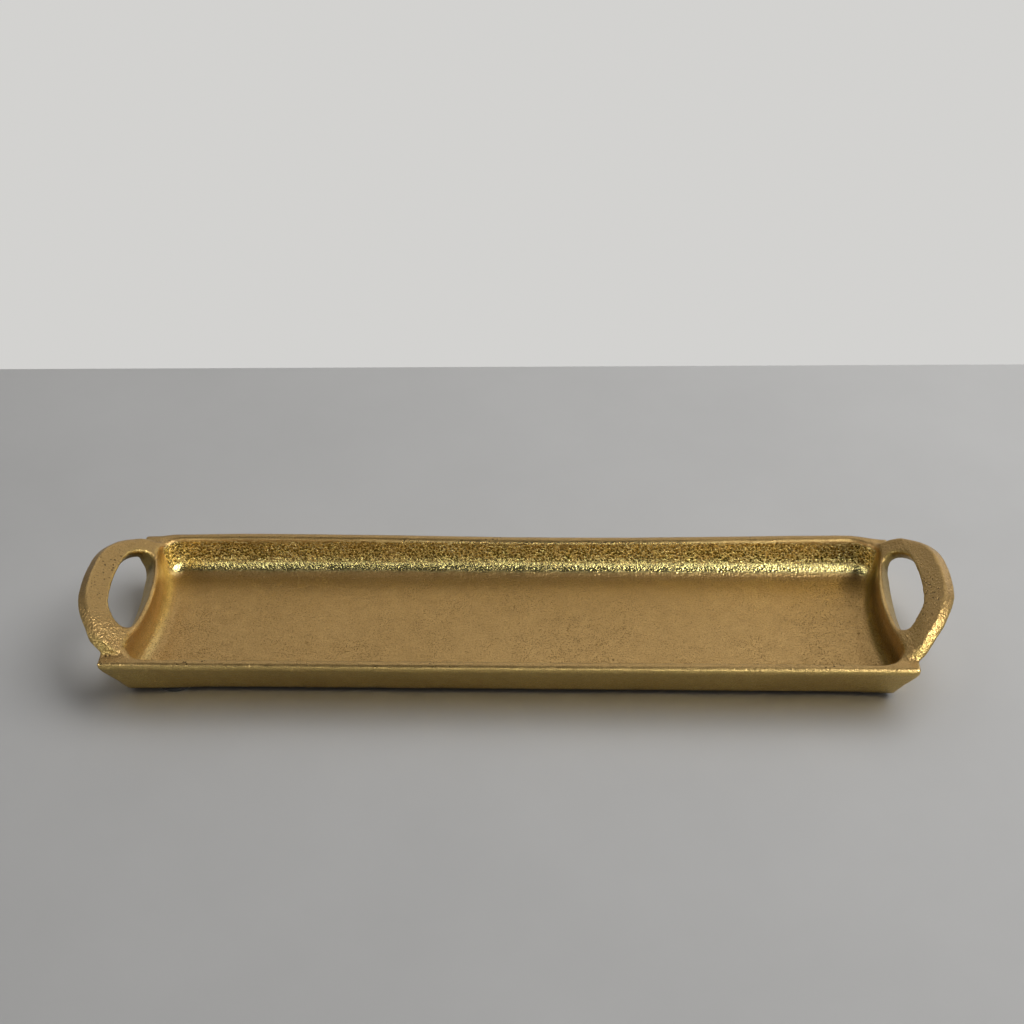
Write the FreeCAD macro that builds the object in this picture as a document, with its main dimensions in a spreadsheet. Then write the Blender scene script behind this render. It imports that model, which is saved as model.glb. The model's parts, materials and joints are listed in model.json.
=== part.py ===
"""Cast brass serving tray with two upturned ring handles, on four stick-on rubber pads.

Frame: X along the tray, Y from front to back, Z up. The origin is on the surface that
the pads stand on, midway between the two handles.

The casting is one basin with a sloping outer wall and, at each end, a flat D-shaped ring
that climbs outward. Each ring lies in a plane that tilts up about a line just outside the
basin's end, and its finger opening is cut square to that plane, through the ring and
through the top of the tray's end wall. The casting is kept as three pieces that meet face
to face: the pan and the two handles.
"""
import FreeCAD, Part
import Sketcher
import math
import os

SIZES = [
    ("pad_thickness", 1.8, "rubber pad, without its adhesive"),
    ("pad_radius", 10.0, "rubber pad"),
    ("pad_edge_radius", 0.5, "rounding of the pad's lower edge"),
    ("film_thickness", 0.2, "adhesive between pad and tray"),
    ("film_radius", 8.0, "adhesive disc"),
    ("pad_inset_x", 158.0, "pad centre from the middle, along the tray"),
    ("pad_inset_y", 24.0, "pad centre from the middle, across the tray"),
    ("pad_stray", 5.5, "how much further forward the front left pad is stuck"),
    ("underside_level", 2.0, "underside of the casting"),
    ("floor_level", 6.0, "top of the basin's floor"),
    ("band_level", 21.0, "where the sloping wall ends and the upright rim band begins"),
    ("rim_level", 24.0, "flat top of the rim"),
    ("rim_reach_left", 186.0, "rim's left end from the middle"),
    ("rim_reach_right", 182.0, "rim's right end from the middle"),
    ("rim_half_depth", 45.2, "rim's front or back edge from the middle"),
    ("wall_draft", 20.5, "slope of the outer wall, degrees from upright"),
    ("edge_radius", 1.0, "rounding of the casting's lower outer edge"),
    ("basin_half_length", 173.0, "middle of the basin's bowed end from the middle"),
    ("basin_half_depth", 41.2, "basin's long side from the middle"),
    ("basin_corner_radius", 10.0, "basin's corners, seen from above"),
    ("basin_bow_radius", 115.0, "how the basin's ends bow inward"),
    ("basin_draft", 4.0, "slope of the basin's walls, degrees from upright"),
    ("basin_floor_radius", 8.0, "fillet between wall and floor"),
    ("core_headroom", 24.0, "how far the basin is kept clear above the rim"),
    ("hinge_x", 174.6, "line about which the ring tilts, from the middle"),
    ("ring_y_right", 0.8, "right ring's centre line, behind the tray's"),
    ("ring_y_left", -0.5, "left ring's centre line, behind the tray's"),
    ("grip_offset", 2.4, "opening's centre line, behind the ring's"),
    ("ring_tilt", 35.0, "ring's slope, degrees from level"),
    ("ring_thickness", 6.0, "ring, square to its flat top"),
    ("ring_draft", 24.0, "flare of the ring's side, degrees"),
    ("ring_edge_radius", 1.2, "rounding of the ring's lower edge"),
    ("ring_reach", 29.0, "flat top's outermost point from the tilt line"),
    ("ring_heel_x", -10.0, "ring's hidden root, from the tilt line"),
    ("ring_heel_radius", 600.0, "ring's hidden root, almost straight"),
    ("ring_half_length", 38.3, "half of the ring's length, front to back"),
    ("ring_nose_radius", 90.0, "outermost stretch of the ring's outline"),
    ("ring_side_radius", 31.0, "front and back stretches of the ring's outline"),
    ("ring_corner_radius", 8.0, "hidden corners of the ring's root"),
    ("grip_heel_x", 0.0, "middle of the opening's inner side, from the tilt line"),
    ("grip_heel_radius", 115.0, "opening's inner side, bowed like the basin's end"),
    ("grip_reach", 18.4, "opening's outermost point from the tilt line"),
    ("grip_half_length", 25.2, "half of the opening's length"),
    ("grip_nose_radius", 90.0, "outermost stretch of the opening's outline"),
    ("grip_side_radius", 16.0, "front and back stretches of the opening's outline"),
    ("grip_corner_radius", 5.0, "opening's two corners beside the basin"),
    ("grip_core_above", 6.0, "opening's cut, above the ring's flat top"),
    ("grip_core_below", 30.0, "opening's cut, below the ring's flat top"),
]

SHEET = "sizes"
TOLERANCE = 1e-4
START = 1
END = 2
CENTRE = 3
ORIGIN = (-1, 1)
X_AXIS = -1
Y_AXIS = -2


def make_sheet(doc):
    """Write the driving dimensions, one row each: alias, value, what it is."""
    sheet = doc.addObject("Spreadsheet::Sheet", SHEET)
    for row, (alias, value, meaning) in enumerate(SIZES, start=1):
        sheet.set(f"A{row}", alias)
        sheet.set(f"B{row}", str(value))
        sheet.set(f"C{row}", meaning)
        sheet.setAlias(f"B{row}", alias)
    doc.recompute()
    return sheet


def bind(thing, **expressions):
    """Bind properties to expressions; a double underscore stands for a dot."""
    for name, expression in expressions.items():
        thing.setExpression(name.replace("__", "."), expression)


def new_body(doc, name):
    body = doc.addObject("PartDesign::Body", name)
    body.Label = name
    return body


def level_sketch(body, name, level=None):
    """A sketch on the body's own XY plane, raised to a level of the sheet."""
    plane = next(f for f in body.Origin.OriginFeatures if f.Role == "XY_Plane")
    sketch = body.newObject("Sketcher::SketchObject", name)
    sketch.AttachmentSupport = [(plane, "")]
    sketch.MapMode = "FlatFace"
    if level:
        bind(sketch, AttachmentOffset__Base__z=f"{SHEET}.{level}")
    return sketch


def constrain(sketch, expression, *arguments):
    """Add a dimension and drive it from the sheet."""
    from_sheet = sketch.evalExpression(expression)
    index = sketch.addConstraint(Sketcher.Constraint(*arguments, float(from_sheet)))
    sketch.setExpression(f"Constraints[{index}]", expression)


def add_arc(sketch, centre, radius, first, last, side=1):
    """An arc from angle first round to angle last; side -1 mirrors it in the Y axis."""
    if side < 0:
        first, last = math.pi - last, math.pi - first
    middle = FreeCAD.Vector(side * centre[0], centre[1], 0)
    circle = Part.Circle(middle, FreeCAD.Vector(0, 0, 1), radius)
    return sketch.addGeometry(Part.ArcOfCircle(circle, first, last), False)


def add_line(sketch, start, end):
    line = Part.LineSegment(FreeCAD.Vector(*start, 0), FreeCAD.Vector(*end, 0))
    return sketch.addGeometry(line, False)


def join_tangent(sketch, path):
    """Join each curve's end to the next one's start, smoothly, all the way round."""
    for (curve, _, leaves), (following, enters, _) in zip(path, path[1:] + path[:1]):
        sketch.addConstraint(
            Sketcher.Constraint("Tangent", curve, leaves, following, enters)
        )


def draw_rim(sketch, sheet):
    """The rim's outer rectangle, each side at its own distance from the middle."""
    left, right, deep = -sheet.rim_reach_left, sheet.rim_reach_right, sheet.rim_half_depth
    corners = [(left, -deep), (right, -deep), (right, deep), (left, deep)]
    sides = [add_line(sketch, a, b) for a, b in zip(corners, corners[1:] + corners[:1])]
    for here, following in zip(sides, sides[1:] + sides[:1]):
        sketch.addConstraint(Sketcher.Constraint("Coincident", here, END, following, START))
    front, east, back, west = sides
    for level_side in (front, back):
        sketch.addConstraint(Sketcher.Constraint("Horizontal", level_side))
    for upright_side in (east, west):
        sketch.addConstraint(Sketcher.Constraint("Vertical", upright_side))
    constrain(sketch, f"{SHEET}.rim_reach_left", "DistanceX", front, START, *ORIGIN)
    constrain(sketch, f"{SHEET}.rim_reach_right", "DistanceX", *ORIGIN, front, END)
    constrain(sketch, f"{SHEET}.rim_half_depth", "DistanceY", front, START, *ORIGIN)
    constrain(sketch, f"{SHEET}.rim_half_depth", "DistanceY", *ORIGIN, back, START)


def draw_basin(sketch, sheet):
    """The basin's edge: straight long sides, round corners and ends that bow inward."""
    half_length, half_depth = sheet.basin_half_length, sheet.basin_half_depth
    corner, bow = sheet.basin_corner_radius, sheet.basin_bow_radius
    bow_x = half_length + bow
    corner_y = half_depth - corner
    corner_x = bow_x - math.sqrt((bow + corner) ** 2 - corner_y ** 2)
    lean = math.asin(corner_y / (bow + corner))

    front = add_line(sketch, (-corner_x, -half_depth), (corner_x, -half_depth))
    east_front = add_arc(sketch, (corner_x, -corner_y), corner, -math.pi / 2, lean)
    east = add_arc(sketch, (bow_x, 0), bow, math.pi - lean, math.pi + lean)
    east_back = add_arc(sketch, (corner_x, corner_y), corner, -lean, math.pi / 2)
    back = add_line(sketch, (corner_x, half_depth), (-corner_x, half_depth))
    west_back = add_arc(sketch, (corner_x, corner_y), corner, -lean, math.pi / 2, -1)
    west = add_arc(sketch, (bow_x, 0), bow, math.pi - lean, math.pi + lean, -1)
    west_front = add_arc(sketch, (corner_x, -corner_y), corner, -math.pi / 2, lean, -1)

    join_tangent(sketch, [
        (front, START, END), (east_front, START, END), (east, END, START),
        (east_back, START, END), (back, START, END), (west_back, START, END),
        (west, END, START), (west_front, START, END),
    ])
    for other in (east_back, west_back, west_front):
        sketch.addConstraint(Sketcher.Constraint("Equal", east_front, other))
    sketch.addConstraint(Sketcher.Constraint("Equal", east, west))
    for bowed in (east, west):
        sketch.addConstraint(Sketcher.Constraint("PointOnObject", bowed, CENTRE, X_AXIS))
    sketch.addConstraint(
        Sketcher.Constraint("Symmetric", front, START, front, END, Y_AXIS)
    )
    constrain(sketch, f"{SHEET}.basin_corner_radius", "Radius", east_front)
    constrain(sketch, f"{SHEET}.basin_bow_radius", "Radius", east)
    constrain(sketch, f"{SHEET}.basin_half_depth", "DistanceY", front, START, *ORIGIN)
    constrain(sketch, f"{SHEET}.basin_half_depth", "DistanceY", *ORIGIN, back, START)
    reach = f"{SHEET}.basin_half_length + {SHEET}.basin_bow_radius"
    constrain(sketch, reach, "DistanceX", *ORIGIN, east, CENTRE)


def draw_d(sketch, sheet, side, kind):
    """A D of six tangent arcs: a flat heel, two corners, two flanks and a flat nose.

    side is 1 for a D whose nose points to +X and -1 for its mirror image.
    """
    def size(name):
        return getattr(sheet, f"{kind}_{name}")

    heel, corner = size("heel_radius"), size("corner_radius")
    flank, nose = size("side_radius"), size("nose_radius")
    heel_x = size("heel_x") + heel
    nose_x = size("reach") - nose
    corner_y = size("half_length") - corner
    corner_x = heel_x - math.sqrt((heel - corner) ** 2 - corner_y ** 2)
    heel_turn = math.atan2(corner_y, corner_x - heel_x)
    # The flank's centre is a known distance from the nose's centre and the corner's.
    apart = math.hypot(corner_x - nose_x, corner_y)
    from_nose, from_corner = nose - flank, flank - corner
    along = (from_nose ** 2 - from_corner ** 2 + apart ** 2) / (2 * apart)
    nose_turn = math.atan2(corner_y, corner_x - nose_x) - math.acos(along / from_nose)
    flank_x = nose_x + from_nose * math.cos(nose_turn)
    flank_y = from_nose * math.sin(nose_turn)
    flank_turn = math.atan2(corner_y - flank_y, corner_x - flank_x)

    full = 2 * math.pi
    arcs = [
        ((heel_x, 0), heel, heel_turn, full - heel_turn),
        ((corner_x, -corner_y), corner, full - heel_turn, full - flank_turn),
        ((flank_x, -flank_y), flank, -flank_turn, -nose_turn),
        ((nose_x, 0), nose, -nose_turn, nose_turn),
        ((flank_x, flank_y), flank, nose_turn, flank_turn),
        ((corner_x, corner_y), corner, flank_turn, heel_turn),
    ]
    curves = [add_arc(sketch, *arc, side) for arc in arcs]
    heel_arc, front_corner, front_flank, nose_arc, back_flank, back_corner = curves
    enters, leaves = (START, END) if side > 0 else (END, START)
    join_tangent(sketch, [(curve, enters, leaves) for curve in curves])

    for pair in ((front_corner, back_corner), (front_flank, back_flank)):
        sketch.addConstraint(Sketcher.Constraint("Equal", *pair))
    for centred in (heel_arc, nose_arc):
        sketch.addConstraint(Sketcher.Constraint("PointOnObject", centred, CENTRE, X_AXIS))
    radii = (("heel", heel_arc), ("corner", front_corner), ("side", front_flank), ("nose", nose_arc))
    for name, curve in radii:
        constrain(sketch, f"{SHEET}.{kind}_{name}_radius", "Radius", curve)
    half = f"({SHEET}.{kind}_half_length - {SHEET}.{kind}_corner_radius)"
    constrain(sketch, f"2 * {half}", "DistanceY", front_corner, CENTRE, back_corner, CENTRE)
    ahead = f"{SHEET}.{kind}_heel_radius + {SHEET}.{kind}_heel_x"
    behind = f"{SHEET}.{kind}_nose_radius - {SHEET}.{kind}_reach"
    place_ahead(sketch, ahead, (heel_arc, CENTRE), side)
    place_ahead(sketch, behind, (nose_arc, CENTRE), -side)


def place_ahead(sketch, expression, point, side):
    """Hold a point at a distance from the Y axis, on the +X side if side is 1."""
    ends = (*ORIGIN, *point) if side > 0 else (*point, *ORIGIN)
    constrain(sketch, expression, "DistanceX", *ends)


def pad(body, sketch, name, length, down=False, draft=None):
    """Pad a sketch up or down by a length of the sheet, with an optional draft."""
    feature = body.newObject("PartDesign::Pad", name)
    feature.Profile = sketch
    feature.Reversed = down
    bind(feature, Length=length)
    if draft:
        bind(feature, TaperAngle=draft)
    sketch.Visibility = False
    return feature


def round_edges(doc, body, name, radius, level):
    """Fillet every edge of the body that lies wholly at a level."""
    doc.recompute()
    last = body.Tip
    edges = [
        f"Edge{number}"
        for number, edge in enumerate(last.Shape.Edges, start=1)
        if abs(edge.BoundBox.ZMin - level) < TOLERANCE
        and abs(edge.BoundBox.ZMax - level) < TOLERANCE
    ]
    fillet = body.newObject("PartDesign::Fillet", name)
    fillet.Base = (last, edges)
    bind(fillet, Radius=f"{SHEET}.{radius}")
    return fillet


def make_tray_block(doc, sheet):
    """The tray's outside as a solid: a sloping wall below an upright rim band."""
    body = new_body(doc, "tray_block")
    outline = level_sketch(body, "rim_outline", "band_level")
    draw_rim(outline, sheet)
    drop = f"{SHEET}.band_level - {SHEET}.underside_level"
    pad(body, outline, "sloping_wall", drop, down=True, draft=f"-{SHEET}.wall_draft")
    pad(body, outline, "rim_band", f"{SHEET}.rim_level - {SHEET}.band_level")
    round_edges(doc, body, "lower_edge", "edge_radius", sheet.underside_level)
    return body


def make_basin_core(doc, sheet):
    """The basin's hollow as a solid, which also reaches above the rim."""
    body = new_body(doc, "basin_core")
    outline = level_sketch(body, "basin_outline", "rim_level")
    draw_basin(outline, sheet)
    depth = f"{SHEET}.rim_level - {SHEET}.floor_level"
    pad(body, outline, "hollow", depth, down=True, draft=f"-{SHEET}.basin_draft")
    pad(body, outline, "headroom", f"{SHEET}.core_headroom")
    round_edges(doc, body, "floor_fillet", "basin_floor_radius", sheet.floor_level)
    return body


def tilt_body(body, side, y_place):
    """Put a body on the ring's tilt line, its X axis climbing outward."""
    body.Placement.Rotation = FreeCAD.Rotation(FreeCAD.Vector(0, -side, 0), 1)
    sign = "" if side > 0 else "-"
    bind(
        body,
        Placement__Base__x=f"{sign}{SHEET}.hinge_x",
        Placement__Base__y=y_place,
        Placement__Base__z=f"{SHEET}.rim_level",
        Placement__Rotation__Angle=f"{SHEET}.ring_tilt",
    )


def make_ring_blank(doc, sheet, side, end):
    """The ring without its opening: a D-shaped plate with a flared side."""
    body = new_body(doc, f"ring_blank_{end}")
    outline = level_sketch(body, f"ring_outline_{end}")
    draw_d(outline, sheet, side, "ring")
    thickness = f"{SHEET}.ring_thickness"
    pad(body, outline, f"plate_{end}", thickness, down=True, draft=f"{SHEET}.ring_draft")
    round_edges(doc, body, f"plate_edge_{end}", "ring_edge_radius", -sheet.ring_thickness)
    tilt_body(body, side, f"{SHEET}.ring_y_{end}")
    return body


def make_grip_core(doc, sheet, side, end):
    """The finger opening as a solid, square to the ring."""
    body = new_body(doc, f"grip_core_{end}")
    outline = level_sketch(body, f"grip_outline_{end}")
    draw_d(outline, sheet, side, "grip")
    pad(body, outline, f"grip_below_{end}", f"{SHEET}.grip_core_below", down=True)
    pad(body, outline, f"grip_above_{end}", f"{SHEET}.grip_core_above")
    tilt_body(body, side, f"{SHEET}.ring_y_{end} + {SHEET}.grip_offset")
    return body


def cut(doc, name, base, tool):
    """Part::Cut, checked to have really taken something away."""
    feature = doc.addObject("Part::Cut", name)
    feature.Label = name
    feature.Base = base
    feature.Tool = tool
    doc.recompute()
    if not feature.Shape.Volume < base.Shape.Volume - TOLERANCE:
        raise RuntimeError(f"{name} cuts nothing away")
    return feature


def fuse(doc, name, pieces):
    feature = doc.addObject("Part::MultiFuse", name)
    feature.Label = name
    feature.Shapes = pieces
    doc.recompute()
    return feature


def make_pad(doc, corner, x_sign, y_sign, stray):
    """A round rubber pad with a softened lower edge, and its adhesive disc."""
    x_place = f"{x_sign}{SHEET}.pad_inset_x"
    y_place = f"{y_sign}{SHEET}.pad_inset_y{stray}"

    rubber = new_body(doc, f"{corner}_pad")
    outline = level_sketch(rubber, f"{corner}_pad_outline")
    circle = Part.Circle(FreeCAD.Vector(), FreeCAD.Vector(0, 0, 1), 1)
    disc = outline.addGeometry(circle, False)
    outline.addConstraint(Sketcher.Constraint("Coincident", disc, CENTRE, *ORIGIN))
    constrain(outline, f"{SHEET}.pad_radius", "Radius", disc)
    pad(rubber, outline, f"{corner}_pad_disc", f"{SHEET}.pad_thickness")
    round_edges(doc, rubber, f"{corner}_pad_edge", "pad_edge_radius", 0)
    bind(rubber, Placement__Base__x=x_place, Placement__Base__y=y_place)

    film = doc.addObject("Part::Cylinder", f"{corner}_pad_adhesive")
    film.Label = film.Name
    bind(
        film,
        Radius=f"{SHEET}.film_radius",
        Height=f"{SHEET}.film_thickness",
        Placement__Base__x=x_place,
        Placement__Base__y=y_place,
        Placement__Base__z=f"{SHEET}.pad_thickness",
    )
    return [rubber, film]


def build(doc):
    """Make every piece and return those that are handed in."""
    sheet = make_sheet(doc)
    tray_block = make_tray_block(doc, sheet)
    basin_core = make_basin_core(doc, sheet)
    ends = (("right", 1), ("left", -1))
    grip_cores = [make_grip_core(doc, sheet, side, end) for end, side in ends]

    cores = fuse(doc, "all_cores", [basin_core] + grip_cores)
    pieces = [cut(doc, "tray_pan", tray_block, cores)]

    kept_clear = fuse(doc, "kept_clear", [tray_block, basin_core])
    for (end, side), grip_core in zip(ends, grip_cores):
        blank = make_ring_blank(doc, sheet, side, end)
        doc.recompute()
        ring = cut(doc, f"open_ring_{end}", blank, grip_core)
        pieces.append(cut(doc, f"handle_{end}", ring, kept_clear))

    stray = f" - {SHEET}.pad_stray"
    pieces += make_pad(doc, "front_left", "-", "-", stray)
    pieces += make_pad(doc, "front_right", "", "-", "")
    pieces += make_pad(doc, "back_left", "-", "", "")
    pieces += make_pad(doc, "back_right", "", "", "")
    doc.recompute()
    return pieces


def check(doc, pieces):
    """Stop if any object failed, or if a piece isn't one valid solid."""
    failed = [o.Name for o in doc.Objects if {"Invalid", "Error"} & set(o.State)]
    if failed:
        raise RuntimeError(f"failed objects: {failed}")
    for piece in pieces:
        shape = piece.Shape
        if shape.isNull() or not shape.isValid() or len(shape.Solids) != 1:
            raise RuntimeError(f"{piece.Label} isn't one valid solid")


def main():
    doc = FreeCAD.newDocument("brass_tray")
    pieces = build(doc)
    check(doc, pieces)
    os.makedirs("parts", exist_ok=True)
    for piece in pieces:
        piece.Shape.exportStep(f"parts/{piece.Label}.step")
        box = piece.Shape.BoundBox
        print(
            f"{piece.Label:28s} volume {piece.Shape.Volume:10.1f} mm3,"
            f" x {box.XMin:.1f} to {box.XMax:.1f},"
            f" y {box.YMin:.1f} to {box.YMax:.1f}, z {box.ZMin:.1f} to {box.ZMax:.1f}"
        )


main()
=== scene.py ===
"""Looks of the cast brass tray: one sand casting on four rubber pads, on a pale table top."""

import json
import math

import bmesh
import bpy
import numpy as np
from mathutils import Matrix, Vector, noise


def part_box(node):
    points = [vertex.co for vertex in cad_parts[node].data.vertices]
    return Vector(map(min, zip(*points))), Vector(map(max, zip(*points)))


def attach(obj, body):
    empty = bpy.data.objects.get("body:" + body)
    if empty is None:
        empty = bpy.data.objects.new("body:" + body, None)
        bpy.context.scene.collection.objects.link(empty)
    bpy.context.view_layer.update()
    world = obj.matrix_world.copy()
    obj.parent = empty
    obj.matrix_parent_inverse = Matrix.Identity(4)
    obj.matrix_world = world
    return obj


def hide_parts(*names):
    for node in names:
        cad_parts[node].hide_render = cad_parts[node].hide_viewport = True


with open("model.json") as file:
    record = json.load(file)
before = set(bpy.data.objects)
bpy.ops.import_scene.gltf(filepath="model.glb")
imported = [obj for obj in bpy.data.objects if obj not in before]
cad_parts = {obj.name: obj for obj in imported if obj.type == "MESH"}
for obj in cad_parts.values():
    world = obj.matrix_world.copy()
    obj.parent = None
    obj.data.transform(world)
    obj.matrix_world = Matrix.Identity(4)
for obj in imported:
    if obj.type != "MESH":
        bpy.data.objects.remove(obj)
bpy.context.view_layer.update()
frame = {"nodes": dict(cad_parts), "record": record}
nodes = frame["nodes"]

MM = 0.001

CAST_NODES = ("tray_pan", "handle_left", "handle_right")
PAD_NODES = ("front_left_pad", "front_right_pad", "back_left_pad", "back_right_pad")

# camera, at the photograph's viewing angle
CAMERA_PLACE = Vector((33.05, -479.63, 482.17)) * MM
CAMERA_YAW = math.radians(-3.7506)
CAMERA_PITCH = math.radians(40.102)
CAMERA_ROLL = math.radians(-2.3125)
CAMERA_LENS = 49.22
CAMERA_SENSOR = 36.0

# the casting's skin
VOXEL = 0.62 * MM
TRIANGLE_TARGET = 190000
WELD = 1e-7
EVEN_ROUNDS, EVEN_SHRINK, EVEN_SWELL = 6, 0.5, 0.52
EDGE_ROUNDS = 4
PLAIN_LEVELS = 8
KEPT_DETAIL = 0.95

# how far a vertex stands proud where the surface turns, in millimetres: from slight to full
TURN_SOFTENED = (0.02, 0.10)
TURN_KEPT = (0.015, 0.07)
TURN_MARKED = (0.02, 0.12)

# The rim's half length, half width and height, the casting's underside and the basin's floor,
# in whole millimetres.
pan_low, pan_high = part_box("tray_pan")
mounts = {mount["name"]: mount["pos_m"] for mount in frame["record"]["mounts"]}
END = round((pan_high.x - pan_low.x) / 2 / MM)
SIDE = round(pan_high.y / MM)
TOP = round(pan_high.z / MM)
BOTTOM = round(pan_low.z / MM)
FLOOR = round(mounts["basin_floor"][2] / MM)


def near(edge, *steps):
    """Places this many millimetres past an edge, or short of it where a step is below 0."""
    return tuple(edge + step for step in steps)


# Places on the casting, in millimetres: x and y from its middle, z from the table. Two numbers
# are where something starts and where it is full; four also say where it fades and where it
# ends.

# the roots of the rings, which narrow towards the rim's end
ROOT_X = near(END, -12, -8, 6, 12)
ROOT_Y = near(SIDE, -27, -21)
ROOT_Z = near(TOP, -12, -7)
ROOT_REACH = SIDE - 3
ROOT_NARROWING = 7
ROOT_NARROWS_X = near(END, -7, 0)
ROOT_FADE = 4

# the basin's corners
LEFT_CORNER_X = near(END, -32, -22, -11, -5)
RIGHT_CORNER_X = near(END, -24, -18, -12, -6)
RIGHT_CORNER_SHARE = 0.35
CORNER_Y = near(SIDE, -43, -19, -7, -3)
CORNER_Z = near(FLOOR, 2, 7)

# the tops of the basin's end walls
END_TOP_X = near(END, -34, -28, -11, -8)
END_TOP_Y = near(SIDE, -7, -3)
END_TOP_Z = near(TOP, -10, -5)

# the back rim's wave
WAVE_LIFT = 0.3
WAVE_SWING = 0.95
WAVE_CENTRE = 30
WAVE_LENGTH = 300
WAVE_Y = near(SIDE, -15, -4)
WAVE_Z = near(TOP, -12, 0)

# the right ring's pinched front root
PINCH_X = near(END, -4, 6)
PINCH_Y = near(SIDE, -37, -21, -11, -4)
PINCH_IN = 1.5
PINCH_BACK = 0.7

# the flared lower front edge
FLARE_Y = near(SIDE, -25, -9)
FLARE_Z = near(BOTTOM, 2, 18)
LEFT_FLARE = 1.4
LEFT_FLARE_X = near(END, -49, -9)
RIGHT_FLARE = 0.8
RIGHT_FLARE_X = near(END, -34, -6)

# the rim's front corners, drawn out
FRONT_Y = near(SIDE, -17, -9)
FRONT_Z = near(TOP, -16, -6)
LEFT_DRAWN = 2.0
LEFT_DRAWN_X = near(END, -10, -4, 8, 16)
RIGHT_DRAWN = 1.2
RIGHT_DRAWN_X = near(END, -10, -4, 6, 12)

# the back fillet, raised
FILLET_LIFT = 0.8
FILLET_Y = near(SIDE, -15, -7.5)
FILLET_START_Z = near(FLOOR, -1.8, 0)
FILLET_END_Z = near(FLOOR, 6, 16)

# the rim's back corners, cut round
BACK_Y = near(SIDE, -11, -2)
BACK_Z = near(TOP, -16, -4)
RIGHT_CUT = 3.0
RIGHT_CUT_X = near(END, -21, -3)
LEFT_CUT = 1.2
LEFT_CUT_X = near(END, -13, -4)

# waviness and grain: wavelength in millimetres, seed, octaves
WANDER = (55, 3, 1)
DENTS = (14, 5, 1)
GRAIN = (2.1, 7, 2)
PEEL = (4.5, 9, 1)

# their depths in millimetres, and where the wall's grain is deeper and where it ends
WANDER_DEPTH = 0.16
DENT_DEPTH = 0.07
WALL_GRAIN = 0.035
BACK_GRAIN = 0.01
FLOOR_GRAIN = 0.02
FLOOR_PEEL = 0.03
FLAT_PEEL = 0.02
OUTER_PEEL = 0.03
BACK_GRAIN_Y = near(SIDE, -25, -7)
GRAIN_END_Z = near(TOP, -5, -2)

# the regions' borders
BASIN_X = near(END, -7.5, -5.5)
BASIN_Y = near(SIDE, -4.5, -2.5)
ABOVE_BOTTOM_Z = near(BOTTOM, 2, 3)
NEAR_ENDS_X = near(END, -44, -34)
NEAR_SIDES_Y = near(SIDE, -17, -12)
FLOOR_Z = near(FLOOR, 0.8, 2.6)
WALL_TOP_Z = near(TOP, -1.5, -0.2)
END_WALL_X = near(END, -34, -22)

# the same for the way the surface faces, where 1 is straight that way
FACES_OUT = (0.2, 0.45)
FACES_DOWN = (0.05, 0.3)
FACES_UP = (0.5, 0.9)
FACES_ACROSS = (0.25, 0.5)
FACES_HOLE = (0.25, 0.6)

# what is marked for the brass besides the regions
LEFT_ROUGH = 2.5
LEFT_ROUGH_X = near(END, -8, -2, 18, 26)
LEFT_ROUGH_Y = near(SIDE, -27, -17, -9, -4)
RIGHT_ROUGH = 0.7
RIGHT_ROUGH_X = near(END, -8, -3, 6, 12)
RIGHT_ROUGH_Y = near(SIDE, -19, -13, -8, -4)
ROUGH_Z = near(TOP, -12, -6)
# the top of the worn strip along the fillet, which also carries a painted highlight
WORN_HIGHLIGHT_Z = near(FLOOR, 4.2, 6.2)
END_WALL_Z = near(TOP, -9, -3)
UNDERSIDE_Z = near(BOTTOM, 0.3, 2.2)
HOLE_CENTRE_X = END + 4
HOLE_X = near(END, -7, -4)
HOLE_Y = near(SIDE, -37, -27, -11, -7)

# textures of the brass: repeats per metre, detail, roughness
PATCHES, MOTTLE, FINE = (14.0, 3.0, 0.55), (160.0, 3.0, 0.6), (900.0, 2.0, 0.6)
SAND, SPECKLE = (1150.0, 2.0, 0.6), (1500.0, 2.0, 0.6)
PIT_GROUPS, SPARSE_GROUPS = (60.0, 3.0, 0.6), (45.0, 2.0, 0.5)
SAND_CELLS, PIT_CELLS, SPARSE_CELLS = 800.0, 1150.0, 520.0
SAND_SLANT, SAND_STRETCH = (0.0, math.radians(38), 0.0), (0.6, 1.0, 1.4)

# heights that the bumps of the brass stand for
SAND_DEPTH, FINE_DEPTH, SPARSE_DEPTH, PIT_DEPTH = 0.2 * MM, 0.35 * MM, 0.4 * MM, 0.35 * MM

# colours of the brass; the grain's dark one is painted shade over the inner walls and in their
# hollows, its bright one painted glints on the crests and a painted highlight along the fillet,
# and the pits' ones painted shade
GRAIN_SHADE, GRAIN_GLINT = (0.070, 0.062, 0.015, 1), (0.74, 0.66, 0.28, 1)
OUTER_DEEP, OUTER_PALE = (0.51, 0.37, 0.125, 1), (0.57, 0.42, 0.145, 1)
BROWN_DEEP, BROWN_PALE = (0.51, 0.328, 0.128, 1), (0.57, 0.37, 0.148, 1)
MOTTLE_TONE, SPECKLE_TONE = (0.42, 0.272, 0.105, 1), (0.20, 0.13, 0.045, 1)
PIT_SHADE, SPARSE_PIT_SHADE = (0.13, 0.08, 0.025, 1), (0.07, 0.045, 0.02, 1)

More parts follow.
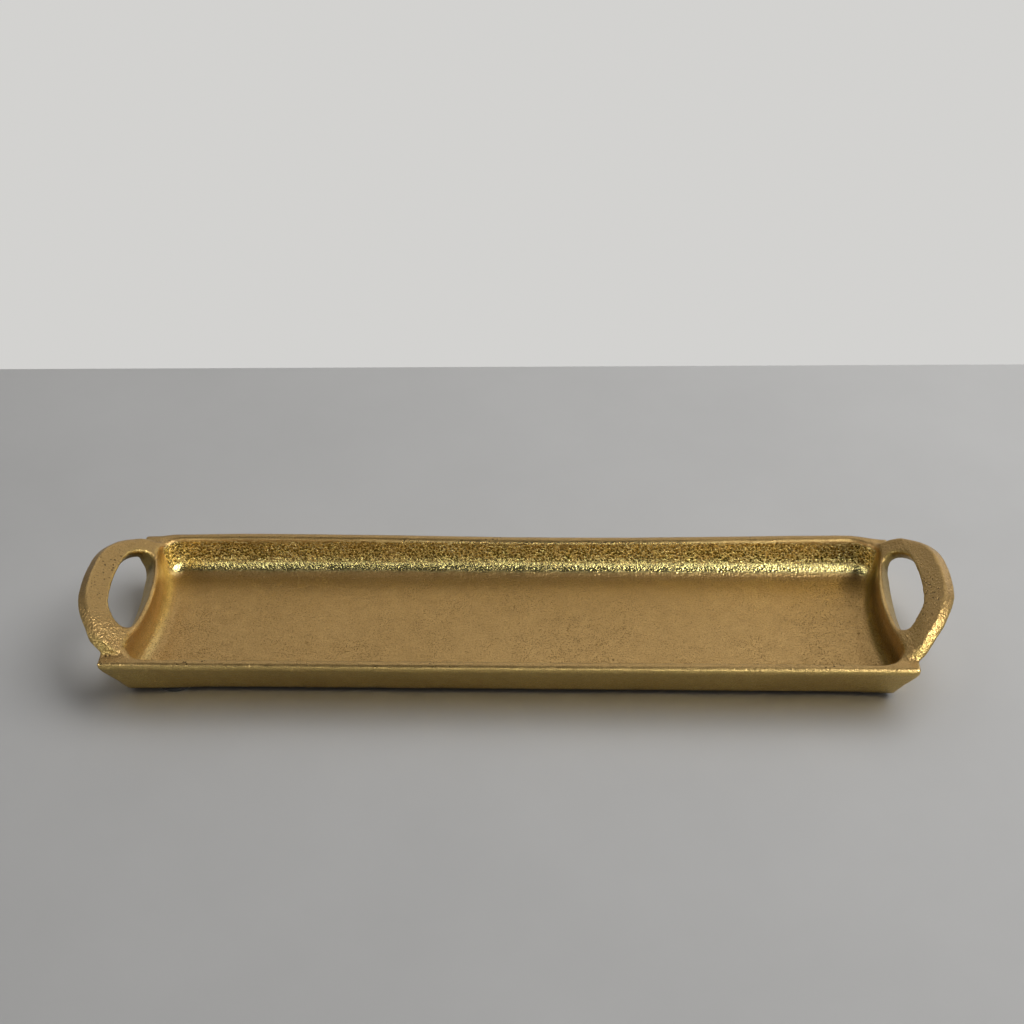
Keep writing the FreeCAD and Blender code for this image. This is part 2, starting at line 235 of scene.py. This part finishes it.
# tints over marked places, below and above the mottle: the mark, its share, its colour. Several
# are painted light: a painted reflection on the left end wall, and painted shade on the right end
# wall, around the finger openings, in the hollows and low on the casting.
TINTS_BELOW = (
    # painted golden reflection on the left end wall
    ("left_end_painted_reflection", 0.9, (0.80, 0.60, 0.26, 1)),
    # painted shade on the right end wall
    ("right_end_painted_shade", 0.9, (0.22, 0.155, 0.04, 1)),
    # painted shade around the finger openings
    ("opening", 0.8, (0.13, 0.098, 0.03, 1)),
    ("flats", 0.4, (0.36, 0.235, 0.095, 1)),
)
TINTS_ABOVE = (
    ("edge", 0.6, (0.70, 0.50, 0.20, 1)),
    # painted shade in the hollows
    ("crevice_painted_shade", 0.4, (0.30, 0.20, 0.05, 1)),
    # painted shade low on the casting, next to the table
    ("underside_painted_shade", 0.85, (0.10, 0.068, 0.03, 1)),
)

# the table top: half its width, and its near and far edges, the far one behind the tray
TABLE_WIDE = 3.0
TABLE_NEAR = -3.0
TABLE_FAR_LEFT = (SIDE + 177) * MM
TABLE_FAR_RIGHT = (SIDE + 191) * MM

# The room's brightness is the product of these fades. Each goes by how far a direction points
# right, back or up, from one value to another, and says how bright it is at both.
ROOM_FADES = (
    ("back", -0.5, 0.45, 0.04, 0.72),
    ("right", -0.6, 0.3, 0.8, 1.4),
    ("right", 0.28, 0.6, 1.0, 0.4),
    ("right", -0.78, -0.58, 0.12, 1.0),
    ("up", 0.48, 0.70, 0.72, 1.35),
    ("up", 0.74, 0.95, 1.0, 0.14),
)
ROOM_TONE, BACKDROP_TONE = (1.0, 0.985, 0.965, 1), (0.65, 0.645, 0.63, 1)

# Soft panels aimed at the tray: name, azimuth, elevation, size, radiance, colour. Azimuth 0 is
# in front and 90 to the right. The cards only make highlights, and the sky makes none.
LIGHT_DISTANCE = 1.5
CARDS = (
    ("window", 32, 17, (2.3, 0.20), 6.6, (1.0, 0.99, 0.96)),
    ("flank_card", 56, 41, (0.6, 0.46), 21.0, (1.0, 0.99, 0.96)),
    ("left_card", -50, 25, (0.6, 0.4), 8.0, (1.0, 0.99, 0.97)),
    ("end_card", 133, 12, (0.6, 0.4), 2.6, (1.0, 0.985, 0.96)),
    ("left_fill", -82, 28, (1.0, 0.6), 0.6, (1.0, 0.99, 0.97)),
)
SKY = ("sky", 118, 52, (1.5, 1.0), 3.1, (1.0, 0.995, 0.98))


# ---------------------------------------------------------------- mesh helpers


def positions(mesh):
    """Vertex positions as an n by 3 array."""
    flat = np.empty(len(mesh.vertices) * 3, np.float32)
    mesh.vertices.foreach_get("co", flat)
    return flat.reshape(-1, 3).astype(float)


def set_positions(mesh, points):
    """Writes an n by 3 array back to the vertices."""
    mesh.vertices.foreach_set("co", points.astype(np.float32).ravel())
    mesh.update()


def vertex_normals(mesh):
    """Vertex normals as an n by 3 array."""
    flat = np.empty(len(mesh.vertices) * 3, np.float32)
    mesh.vertex_normals.foreach_get("vector", flat)
    return flat.reshape(-1, 3).astype(float)


def edge_pairs(mesh):
    """The two vertex numbers of every edge."""
    flat = np.empty(len(mesh.edges) * 2, np.int32)
    mesh.edges.foreach_get("vertices", flat)
    return flat.reshape(-1, 2)


def neighbour_mean(points, edges, count):
    """For each vertex, the mean of its neighbours' positions."""
    total = np.empty_like(points)
    ends = np.concatenate((edges[:, 0], edges[:, 1]))
    others = np.concatenate((edges[:, 1], edges[:, 0]))
    for axis in range(3):
        total[:, axis] = np.bincount(ends, points[others, axis], len(points))
    return total / count[:, None]


def relax(points, edges, weight, rounds, shrink=0.5, swell=0.0):
    """Smooths positions by their neighbours, as far as weight (0 to 1 per vertex) allows."""
    count = np.bincount(edges.ravel(), minlength=len(points)).astype(float)
    count[count == 0] = 1.0
    step = weight[:, None]
    for _ in range(rounds):
        points = points + shrink * step * (neighbour_mean(points, edges, count) - points)
        if swell:
            points = points - swell * step * (neighbour_mean(points, edges, count) - points)
    return points


def sharpness(points, normals, edges):
    """How far each vertex stands proud of those around it, in millimetres; below 0 in a hollow."""
    everywhere = np.ones(len(points))
    bulge = np.einsum("ij,ij->i", points - relax(points, edges, everywhere, 3), normals)
    return relax(np.column_stack((bulge, bulge, bulge)), edges, everywhere, 2)[:, 0] / MM


def ramp(values, start, end):
    """0 before start, 1 after end, and smooth between them."""
    t = np.clip((values - start) / (end - start), 0.0, 1.0)
    return t * t * (3.0 - 2.0 * t)


def window(values, start, full, fading, end):
    """1 from full to fading, 0 before start and after end, and smooth between them."""
    return ramp(values, start, full) * (1.0 - ramp(values, fading, end))


def noise_field(points, wavelength, seed, octaves):
    """Smooth seeded noise from about -1 to 1 at each point; the wavelength is in millimetres."""
    shift = Vector((seed * 17.31, seed * 5.77, seed * 11.13))
    scaled = points / (wavelength * MM)
    if octaves == 1:
        return np.array([noise.noise(Vector(p) + shift) for p in scaled])
    return np.array([noise.fractal(Vector(p) + shift, 1.0, 2.0, octaves) for p in scaled])


def evaluated_mesh(obj, name):
    """A new mesh with the object's modifiers applied."""
    graph = bpy.context.evaluated_depsgraph_get()
    mesh = bpy.data.meshes.new_from_object(obj.evaluated_get(graph))
    mesh.name = name
    return mesh


def swap_mesh(obj, mesh):
    """Gives the object another mesh, drops its modifiers and deletes the old mesh."""
    old = obj.data
    obj.modifiers.clear()
    obj.data = mesh
    bpy.data.meshes.remove(old)


# ---------------------------------------------------------------- the casting


def joined_copy(names):
    """One object with copies of the shapes of these CAD nodes."""
    whole = bmesh.new()
    for name in names:
        part = bmesh.new()
        part.from_mesh(nodes[name].data)
        bmesh.ops.remove_doubles(part, verts=part.verts, dist=WELD)
        mesh = bpy.data.meshes.new("part")
        part.to_mesh(mesh)
        part.free()
        whole.from_mesh(mesh)
        bpy.data.meshes.remove(mesh)
    mesh = bpy.data.meshes.new("casting")
    whole.to_mesh(mesh)
    whole.free()
    obj = bpy.data.objects.new("casting", mesh)
    bpy.context.scene.collection.objects.link(obj)
    return obj


def cast_skin(obj):
    """Runs the three CAD shapes into one skin of even faces, as the metal ran in the mould."""
    skin = obj.modifiers.new("skin", "REMESH")
    skin.mode = "VOXEL"
    skin.voxel_size = VOXEL
    skin.use_smooth_shade = True
    swap_mesh(obj, evaluated_mesh(obj, "casting"))


def root_weight(points):
    """1 where a ring's roots join the rim, 0 elsewhere."""
    x, y, z = np.abs(points.T) / MM
    reach = ROOT_REACH - ROOT_NARROWING * ramp(x, *ROOT_NARROWS_X)
    side = ramp(y, *ROOT_Y) * (1 - ramp(y - reach, -ROOT_FADE, 0))
    return window(x, *ROOT_X) * side * ramp(z, *ROOT_Z)


def corner_weight(points):
    """1 at the basin's left corners, less at the right ones, which are less rounded off."""
    x, y, z = points.T / MM
    near_end = window(-x, *LEFT_CORNER_X) + RIGHT_CORNER_SHARE * window(x, *RIGHT_CORNER_X)
    return near_end * window(np.abs(y), *CORNER_Y) * ramp(z, *CORNER_Z)


def end_weight(points):
    """1 along the tops of the basin's end walls."""
    x, y, z = np.abs(points.T) / MM
    return window(x, *END_TOP_X) * (1 - ramp(y, *END_TOP_Y)) * ramp(z, *END_TOP_Z)


# places that are blended after the skin is made, and for how many rounds
BLENDS = ((root_weight, 24), (corner_weight, 45), (end_weight, 5))


def warp(points):
    """The hand-finished shape: each push below acts on what the ones before it left."""
    places = points / MM
    x, y, z = places.T  # views, so a push changes places

    wave = WAVE_LIFT - WAVE_SWING * np.cos((x - WAVE_CENTRE) * 2 * math.pi / WAVE_LENGTH)
    z += wave * ramp(y, *WAVE_Y) * ramp(z, *WAVE_Z)

    pinch = ramp(x, *PINCH_X) * window(-y, *PINCH_Y)
    x -= PINCH_IN * pinch
    y += PINCH_BACK * pinch

    low_front = ramp(-y, *FLARE_Y) * (1 - ramp(z, *FLARE_Z))
    flare = LEFT_FLARE * ramp(-x, *LEFT_FLARE_X) + RIGHT_FLARE * ramp(x, *RIGHT_FLARE_X)
    y -= flare * low_front

    front_corner = ramp(-y, *FRONT_Y) * ramp(z, *FRONT_Z)
    x -= LEFT_DRAWN * front_corner * window(-x, *LEFT_DRAWN_X)
    x += RIGHT_DRAWN * front_corner * window(x, *RIGHT_DRAWN_X)

    low_back = ramp(y, *FILLET_Y) * ramp(z, *FILLET_START_Z)
    z += FILLET_LIFT * low_back * (1 - ramp(z, *FILLET_END_Z))

    back_corner = ramp(y, *BACK_Y) * ramp(z, *BACK_Z)
    cut = RIGHT_CUT * ramp(x, *RIGHT_CUT_X) + LEFT_CUT * ramp(-x, *LEFT_CUT_X)
    y -= cut * back_corner
    return places * MM


def regions(points, normals):
    """How far each vertex belongs to the floor, the inner walls, the end walls, the flats on
    top and the rest of the outside."""
    x, y, z = np.abs(points.T) / MM
    outwards = np.sign(points) * normals
    outward = ramp(outwards[:, 1], *FACES_OUT) * ramp(y, *NEAR_SIDES_Y)
    outward += ramp(outwards[:, 0], *FACES_OUT) * ramp(x, *NEAR_ENDS_X)
    outward += ramp(-normals[:, 2], *FACES_DOWN)
    up = ramp(normals[:, 2], *FACES_UP)
    across = ramp(np.abs(normals[:, 1]), *FACES_ACROSS)

    inside = (1 - ramp(x, *BASIN_X)) * (1 - ramp(y, *BASIN_Y)) * ramp(z, *ABOVE_BOTTOM_Z)
    inside *= 1 - np.clip(outward, 0, 1)
    outside = 1 - np.clip(inside, 0, 1)
    floor = inside * (1 - ramp(z, *FLOOR_Z)) * up
    wall = inside * (1 - floor) * (1 - ramp(z, *WALL_TOP_Z))
    return {
        "floor": floor,
        "wall": wall * np.maximum(across, 1 - ramp(x, *NEAR_ENDS_X)),
        "end": inside * (1 - floor) * (1 - across) * ramp(x, *END_WALL_X),
        "flats": outside * up,
        "outer": outside * (1 - up),
    }


def shape_casting(obj):
    """Softens edges, blends the roots, and adds the hand-finished waviness and sand grain."""
    mesh = obj.data
    edges = edge_pairs(mesh)
    points = positions(mesh)
    everywhere = np.ones(len(points))
    points = relax(points, edges, everywhere, EVEN_ROUNDS, EVEN_SHRINK, EVEN_SWELL)
    set_positions(mesh, points)
    turn = np.abs(sharpness(points, vertex_normals(mesh), edges))
    points = relax(points, edges, ramp(turn, *TURN_SOFTENED), EDGE_ROUNDS)
    for weight, rounds in BLENDS:
        points = relax(points, edges, weight(points), rounds)
    points = warp(points)
    set_positions(mesh, points)

    normals = vertex_normals(mesh)
    region = regions(points, normals)
    grain = noise_field(points, *GRAIN)
    peel = noise_field(points, *PEEL)
    wall_grain = WALL_GRAIN + BACK_GRAIN * ramp(points[:, 1] / MM, *BACK_GRAIN_Y)
    wall_grain *= region["wall"] * (1 - ramp(points[:, 2] / MM, *GRAIN_END_Z))
    height = WANDER_DEPTH * noise_field(points, *WANDER)
    height += DENT_DEPTH * noise_field(points, *DENTS)
    height += (wall_grain + FLOOR_GRAIN * region["floor"]) * grain
    height += FLOOR_PEEL * region["floor"] * peel
    height += (FLAT_PEEL * region["flats"] + OUTER_PEEL * region["outer"]) * peel
    set_positions(mesh, points + normals * (height * MM)[:, None])


def thin_out(obj):
    """Drops triangles where the surface is plain, so the piece stays a workable size."""
    mesh = obj.data
    triangles = sum(len(p.vertices) - 2 for p in mesh.polygons)
    turn = np.abs(sharpness(positions(mesh), vertex_normals(mesh), edge_pairs(mesh)))
    plainness = 1.0 - KEPT_DETAIL * ramp(turn, *TURN_KEPT)
    plain = obj.vertex_groups.new(name="plain")
    levels = np.round(plainness * PLAIN_LEVELS).astype(int)
    for level in range(PLAIN_LEVELS + 1):
        members = np.flatnonzero(levels == level)
        plain.add(members.tolist(), level / PLAIN_LEVELS, "REPLACE")
    if triangles > TRIANGLE_TARGET:
        fewer = obj.modifiers.new("fewer", "DECIMATE")
        fewer.ratio = TRIANGLE_TARGET / triangles
        fewer.vertex_group = plain.name
        swap_mesh(obj, evaluated_mesh(obj, "casting"))
    obj.vertex_groups.clear()
    obj.data.shade_smooth()


def facing_hole(points, normals):
    """1 on the metal around a ring's finger opening that faces the opening's middle."""
    x, y = points.T[:2] / MM
    from_middle = np.column_stack((np.abs(x) - HOLE_CENTRE_X, y))
    facing = np.column_stack((normals[:, 0] * np.sign(x), normals[:, 1]))
    inward = -np.einsum("ij,ij->i", from_middle, facing)
    inward /= np.linalg.norm(from_middle, axis=1) + 1
    return ramp(inward, *FACES_HOLE) * ramp(np.abs(x), *HOLE_X)


def mark_casting(obj):
    """Stores a number per vertex for each place that the brass treats in its own way, among them
    the places where it paints shade, a reflection and a highlight.
    """
    mesh = obj.data
    points = positions(mesh)
    normals = vertex_normals(mesh)
    region = regions(points, normals)
    turn = sharpness(points, normals, edge_pairs(mesh))
    x, y, z = points.T / MM
    end = region["end"] * (1 - ramp(z, *END_WALL_Z))
    root = LEFT_ROUGH * window(-x, *LEFT_ROUGH_X) * window(-y, *LEFT_ROUGH_Y)
    root += RIGHT_ROUGH * window(x, *RIGHT_ROUGH_X) * window(-y, *RIGHT_ROUGH_Y)
    marks = {
        "floor": region["floor"],
        "wall": region["wall"],
        "flats": region["flats"],
        "outer": region["outer"],
        # the foot of the inner walls along the fillet: worn smoother, and given a painted
        # highlight in colour
        "worn_and_painted_highlight": region["wall"] * (1 - ramp(z, *WORN_HIGHLIGHT_Z)),
        # the end walls: the left one gets a painted reflection, the right one painted shade
        "left_end_painted_reflection": end * (x < 0),
        "right_end_painted_shade": end * (x > 0),
        "rough_root": root * ramp(z, *ROUGH_Z),
        # the metal facing into the finger openings, which gets painted shade
        "opening": facing_hole(points, normals) * window(y, *HOLE_Y),
        # the lowest couple of millimetres, which get painted shade
        "underside_painted_shade": 1 - ramp(z, *UNDERSIDE_Z),
        "edge": ramp(turn, *TURN_MARKED),
        # the hollows, which get painted shade
        "crevice_painted_shade": ramp(-turn, *TURN_MARKED),
    }
    for name, values in marks.items():
        attribute = mesh.attributes.new(name, "FLOAT", "POINT")
        attribute.data.foreach_set("value", values.astype(np.float32))


# ---------------------------------------------------------------- materials


class Nodes:
    """Short ways to add and link shader nodes; values are numbers, colours or sockets."""

    # sockets of the colour mix, which has others of the same names for other kinds of value
    MIX_SHARE, MIX_FIRST, MIX_SECOND, MIX_RESULT = 0, 6, 7, 2

    def __init__(self, name):
        self.material = bpy.data.materials.new(name)
        self.material.use_nodes = True
        self.tree = self.material.node_tree
        self.tree.nodes.clear()
        self.output = self.add("ShaderNodeOutputMaterial")
        self.shader = self.add("ShaderNodeBsdfPrincipled")
        self.link(self.shader.outputs[0], self.output.inputs[0])
        self.place = self.add("ShaderNodeTexCoord").outputs["Object"]

    def add(self, kind, **settings):
        """A new node with these settings."""
        node = self.tree.nodes.new(kind)
        for key, value in settings.items():
            setattr(node, key, value)
        return node

    def link(self, out, into):
        """Joins an output to an input."""
        self.tree.links.new(out, into)

    def feed(self, socket, value):
        """Links a socket's value, or sets a constant one."""
        if isinstance(value, bpy.types.NodeSocket):
            self.link(value, socket)
        else:
            socket.default_value = value

    def shade(self, name, value):
        """Gives the surface this value."""
        self.feed(self.shader.inputs[name], value)

    def noise(self, per_metre, detail=2.0, rough=0.5, place=None):
        """Cloudy noise from 0 to 1."""
        node = self.add("ShaderNodeTexNoise")
        self.link(place or self.place, node.inputs["Vector"])
        self.feed(node.inputs["Scale"], per_metre)
        self.feed(node.inputs["Detail"], detail)
        self.feed(node.inputs["Roughness"], rough)
        return node.outputs[0]

    def cells(self, per_metre):
        """Distance to the nearest of many scattered points."""
        node = self.add("ShaderNodeTexVoronoi", feature="F1")
        self.link(self.place, node.inputs["Vector"])
        self.feed(node.inputs["Scale"], per_metre)
        return node.outputs["Distance"]

    def span(self, value, start, end, low=0.0, high=1.0):
        """Turns start to end into low to high, held at both."""
        node = self.add("ShaderNodeMapRange", clamp=True)
        for socket, given in zip(node.inputs[:5], (value, start, end, low, high)):
            self.feed(socket, given)
        return node.outputs[0]

    def math(self, kind, first, second):
        """Arithmetic on two values, such as ADD or MAXIMUM."""
        node = self.add("ShaderNodeMath", operation=kind)
        self.feed(node.inputs[0], first)
        self.feed(node.inputs[1], second)
        return node.outputs[0]

    def times(self, first, second):
        """The product of two values."""
        return self.math("MULTIPLY", first, second)

    def mix(self, share, first, second):
        """A share of the second colour over the first."""
        node = self.add("ShaderNodeMix", data_type="RGBA")
        self.feed(node.inputs[self.MIX_SHARE], share)
        self.feed(node.inputs[self.MIX_FIRST], first)
        self.feed(node.inputs[self.MIX_SECOND], second)
        return node.outputs[self.MIX_RESULT]

    def stored(self, name):
        """A number that the mesh keeps per vertex."""
        return self.add("ShaderNodeAttribute", attribute_name=name).outputs["Fac"]

    def bump(self, height, distance, normal=None):
        """A normal that follows a height, over another normal if one is given."""
        node = self.add("ShaderNodeBump")
        self.feed(node.inputs["Strength"], 1.0)
        self.feed(node.inputs["Distance"], distance)
        self.link(height, node.inputs["Height"])
        if normal is not None:
            self.link(normal, node.inputs["Normal"])
        return node.outputs[0]


def brass():
    """Raw sand-cast brass: warm gold, satin, pitted and a little brown, with painted glints,
    highlight, reflection and shade.
    """
    n = Nodes("cast_brass")
    floor, wall, flats = n.stored("floor"), n.stored("wall"), n.stored("flats")
    edge, worn_and_painted_highlight = n.stored("edge"), n.stored("worn_and_painted_highlight")

    # sand grain of the inner walls, slanted; its crests get painted glints and its hollows painted
    # shade
    slant = n.add("ShaderNodeMapping")
    n.link(n.place, slant.inputs["Vector"])
    slant.inputs["Rotation"].default_value = SAND_SLANT
    slant.inputs["Scale"].default_value = SAND_STRETCH
    sand = n.math("ADD", n.noise(*SAND, slant.outputs[0]), n.cells(SAND_CELLS))
    # along the fillet the crests give way to a painted highlight
    painted_glint = n.math("MAXIMUM", n.span(sand, 0.80, 1.18), n.times(worn_and_painted_highlight, 0.85))

    # small pits everywhere, most on the floor, and sparse larger ones on the flats
    pit_size = n.span(n.noise(*PIT_GROUPS), 0.25, 0.70, 0.17, 0.40)
    pit = n.span(n.math("SUBTRACT", pit_size, n.cells(PIT_CELLS)), 0.0, 0.14)
    pit = n.times(pit, n.span(floor, 0.0, 1.0, 0.6, 1.0))
    sparse_size = n.span(n.noise(*SPARSE_GROUPS), 0.42, 0.66, 0.0, 0.32)
    sparse = n.math("SUBTRACT", sparse_size, n.cells(SPARSE_CELLS))
    sparse = n.times(n.span(sparse, 0.0, 0.08), flats)

    # colour, from the ground up
    patches = n.span(n.noise(*PATCHES), 0.35, 0.65)
    mottle = n.noise(*MOTTLE)
    brown = n.mix(patches, BROWN_DEEP, BROWN_PALE)
    # the inner walls take painted shade, with painted glints on the grain's crests
    tone = n.mix(wall, brown, n.mix(painted_glint, GRAIN_SHADE, GRAIN_GLINT))
    tone = n.mix(n.stored("outer"), tone, n.mix(patches, OUTER_DEEP, OUTER_PALE))
    for mark, share, colour in TINTS_BELOW:
        tone = n.mix(n.times(n.stored(mark), share), tone, colour)
    tone = n.mix(n.span(mottle, 0.35, 0.75, 0.0, 0.45), tone, MOTTLE_TONE)
    for mark, share, colour in TINTS_ABOVE:
        tone = n.mix(n.times(n.stored(mark), share), tone, colour)
    # the pits darkened with painted shade
    tone = n.mix(n.times(pit, 0.62), tone, PIT_SHADE)
    speckle = n.span(n.noise(*SPECKLE), 0.42, 0.66, 0.0, 0.34)
    speckle = n.times(speckle, n.span(wall, 0.0, 1.0, 1.0, 0.3))
    tone = n.mix(speckle, tone, SPECKLE_TONE)
    # the sparse pits on the flats darkened with painted shade too
    tone = n.mix(n.times(sparse, 0.8), tone, SPARSE_PIT_SHADE)
    n.shade("Base Color", tone)
    n.shade("Metallic", 1.0)

    # satin, smoother on rubbed edges and walls, and dull in the pits
    rough = n.span(mottle, 0.3, 0.7, 0.34, 0.44)
    rough = n.math("SUBTRACT", rough, n.times(edge, 0.12))
    rough = n.math("SUBTRACT", rough, n.times(wall, 0.17))
    n.shade("Roughness", n.math("ADD", rough, n.times(pit, 0.12)))

    # relief too small for the mesh, worn down on edges and along the fillet
    coarse = n.math("ADD", wall, n.stored("rough_root"))
    depth = n.times(sand, n.span(coarse, 0.0, 2.5, 0.4, 3.0))
    depth = n.times(depth, n.span(edge, 0.0, 1.0, 1.0, 0.1))
    depth = n.times(depth, n.span(worn_and_painted_highlight, 0.0, 1.0, 1.0, 0.4))
    normal = n.bump(depth, SAND_DEPTH)
    fine = n.times(n.noise(*FINE), n.span(edge, 0.0, 1.0, 1.0, 0.2))
    normal = n.bump(fine, FINE_DEPTH, normal)
    normal = n.bump(n.times(sparse, -1.0), SPARSE_DEPTH, normal)
    n.shade("Normal", n.bump(n.times(pit, -1.0), PIT_DEPTH, normal))
    return n.material


def rubber():
    """Matt black rubber with a fine moulded grain and a little dust."""
    n = Nodes("black_rubber")
    dust = n.noise(220.0, 3.0, 0.6)
    tone = n.mix(n.span(dust, 0.45, 0.8), (0.018, 0.018, 0.019, 1), (0.05, 0.049, 0.047, 1))
    n.shade("Base Color", tone)
    n.shade("Roughness", n.span(dust, 0.3, 0.8, 0.55, 0.8))
    n.shade("Normal", n.bump(n.noise(2600.0), 0.03 * MM))
    return n.material


def adhesive():
    """A thin milky film of clear glue."""
    n = Nodes("clear_adhesive")
    cloud = n.noise(400.0)
    tone = n.mix(n.span(cloud, 0.3, 0.7), (0.72, 0.71, 0.66, 1), (0.84, 0.83, 0.79, 1))
    n.shade("Base Color", tone)
    n.shade("Roughness", n.span(cloud, 0.3, 0.7, 0.2, 0.4))
    n.shade("Transmission Weight", 0.6)
    n.shade("Normal", n.bump(cloud, 0.05 * MM))
    return n.material


def table_top():
    """A plain pale grey table."""
    n = Nodes("table")
    tone = n.mix(n.noise(9.0, 4.0, 0.6), (0.52, 0.52, 0.52, 1), (0.60, 0.60, 0.60, 1))
    n.shade("Base Color", tone)
    n.shade("Roughness", 0.62)
    n.shade("Specular IOR Level", 0.3)
    return n.material


def paint(obj, material):
    """Gives every slot of the object this material."""
    if not obj.data.materials:
        obj.data.materials.append(None)
    for place in obj.material_slots:
        place.link = "OBJECT"
        place.material = material


# ---------------------------------------------------------------- the stage


def make_table():
    """The table top: its far edge is a little way behind the tray."""
    corners = [
        (-TABLE_WIDE, TABLE_NEAR, 0),
        (TABLE_WIDE, TABLE_NEAR, 0),
        (TABLE_WIDE, TABLE_FAR_RIGHT, 0),
        (-TABLE_WIDE, TABLE_FAR_LEFT, 0),
    ]
    mesh = bpy.data.meshes.new("table")
    mesh.from_pydata(corners, [], [(0, 1, 2, 3)])
    table = bpy.data.objects.new("table", mesh)
    bpy.context.scene.collection.objects.link(table)
    paint(table, table_top())


def make_world():
    """A plain room that lights the tray by ROOM_FADES, and is plain and pale to the camera."""
    world = bpy.data.worlds.new("room")
    world.use_nodes = True
    tree = world.node_tree
    tree.nodes.clear()

    def add(kind, **settings):
        node = tree.nodes.new(kind)
        for key, value in settings.items():
            setattr(node, key, value)
        return node

    def fade(value, start, end, low, high):
        node = add("ShaderNodeMapRange", interpolation_type="SMOOTHSTEP")
        tree.links.new(value, node.inputs[0])
        for socket, number in zip(node.inputs[1:5], (start, end, low, high)):
            socket.default_value = number
        return node.outputs[0]

    def times(first, second):
        node = add("ShaderNodeMath", operation="MULTIPLY")
        tree.links.new(first, node.inputs[0])
        tree.links.new(second, node.inputs[1])
        return node.outputs[0]

    def background(colour):
        node = add("ShaderNodeBackground")
        node.inputs["Color"].default_value = colour
        return node

    split = add("ShaderNodeSeparateXYZ")
    tree.links.new(add("ShaderNodeTexCoord").outputs["Generated"], split.inputs[0])
    ways = dict(zip(("right", "back", "up"), split.outputs))
    glow = None
    for way, *amounts in ROOM_FADES:
        part = fade(ways[way], *amounts)
        glow = times(glow, part) if glow else part
    room = background(ROOM_TONE)
    tree.links.new(glow, room.inputs["Strength"])
    choose = add("ShaderNodeMixShader")
    tree.links.new(add("ShaderNodeLightPath").outputs["Is Camera Ray"], choose.inputs[0])
    tree.links.new(room.outputs[0], choose.inputs[1])
    tree.links.new(background(BACKDROP_TONE).outputs[0], choose.inputs[2])
    tree.links.new(choose.outputs[0], add("ShaderNodeOutputWorld").inputs[0])
    bpy.context.scene.world = world


def soft_light(name, azimuth, elevation, size, radiance, colour):
    """A soft panel aimed at the tray; angles in degrees, azimuth 0 in front and 90 right."""
    a, e = math.radians(azimuth), math.radians(elevation)
    way = Vector((math.sin(a) * math.cos(e), -math.cos(a) * math.cos(e), math.sin(e)))
    data = bpy.data.lights.new(name, "AREA")
    data.shape = "RECTANGLE"
    data.size, data.size_y = size
    data.energy = radiance * size[0] * size[1] * math.pi
    data.color = colour
    lamp = bpy.data.objects.new(name, data)
    bpy.context.scene.collection.objects.link(lamp)
    lamp.location = way * LIGHT_DISTANCE
    lamp.rotation_mode = "QUATERNION"
    lamp.rotation_quaternion = way.to_track_quat("Z", "Y")
    return lamp


def make_camera():
    """The camera, from its place, its turn and the tilt down to the tray."""
    data = bpy.data.cameras.new("camera")
    data.lens = CAMERA_LENS
    data.sensor_width = CAMERA_SENSOR
    camera = bpy.data.objects.new("camera", data)
    bpy.context.scene.collection.objects.link(camera)
    turn = Matrix.Rotation(-CAMERA_YAW, 4, "Z")
    turn = turn @ Matrix.Rotation(math.pi / 2 - CAMERA_PITCH, 4, "X")
    turn = turn @ Matrix.Rotation(CAMERA_ROLL, 4, "Z")
    camera.matrix_world = Matrix.Translation(CAMERA_PLACE) @ turn
    bpy.context.scene.camera = camera


# ---------------------------------------------------------------- build

casting = joined_copy(CAST_NODES)
cast_skin(casting)
shape_casting(casting)
thin_out(casting)
mark_casting(casting)
paint(casting, brass())
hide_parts(*CAST_NODES)
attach(casting, "root")

rubber_look = rubber()
glue_look = adhesive()
for pad in PAD_NODES:
    paint(nodes[pad], rubber_look)
    paint(nodes[pad + "_adhesive"], glue_look)

make_table()
make_world()
for card in CARDS:
    soft_light(*card).visible_diffuse = False
soft_light(*SKY).visible_glossy = False
make_camera()
bpy.context.scene.view_settings.view_transform = "Standard"
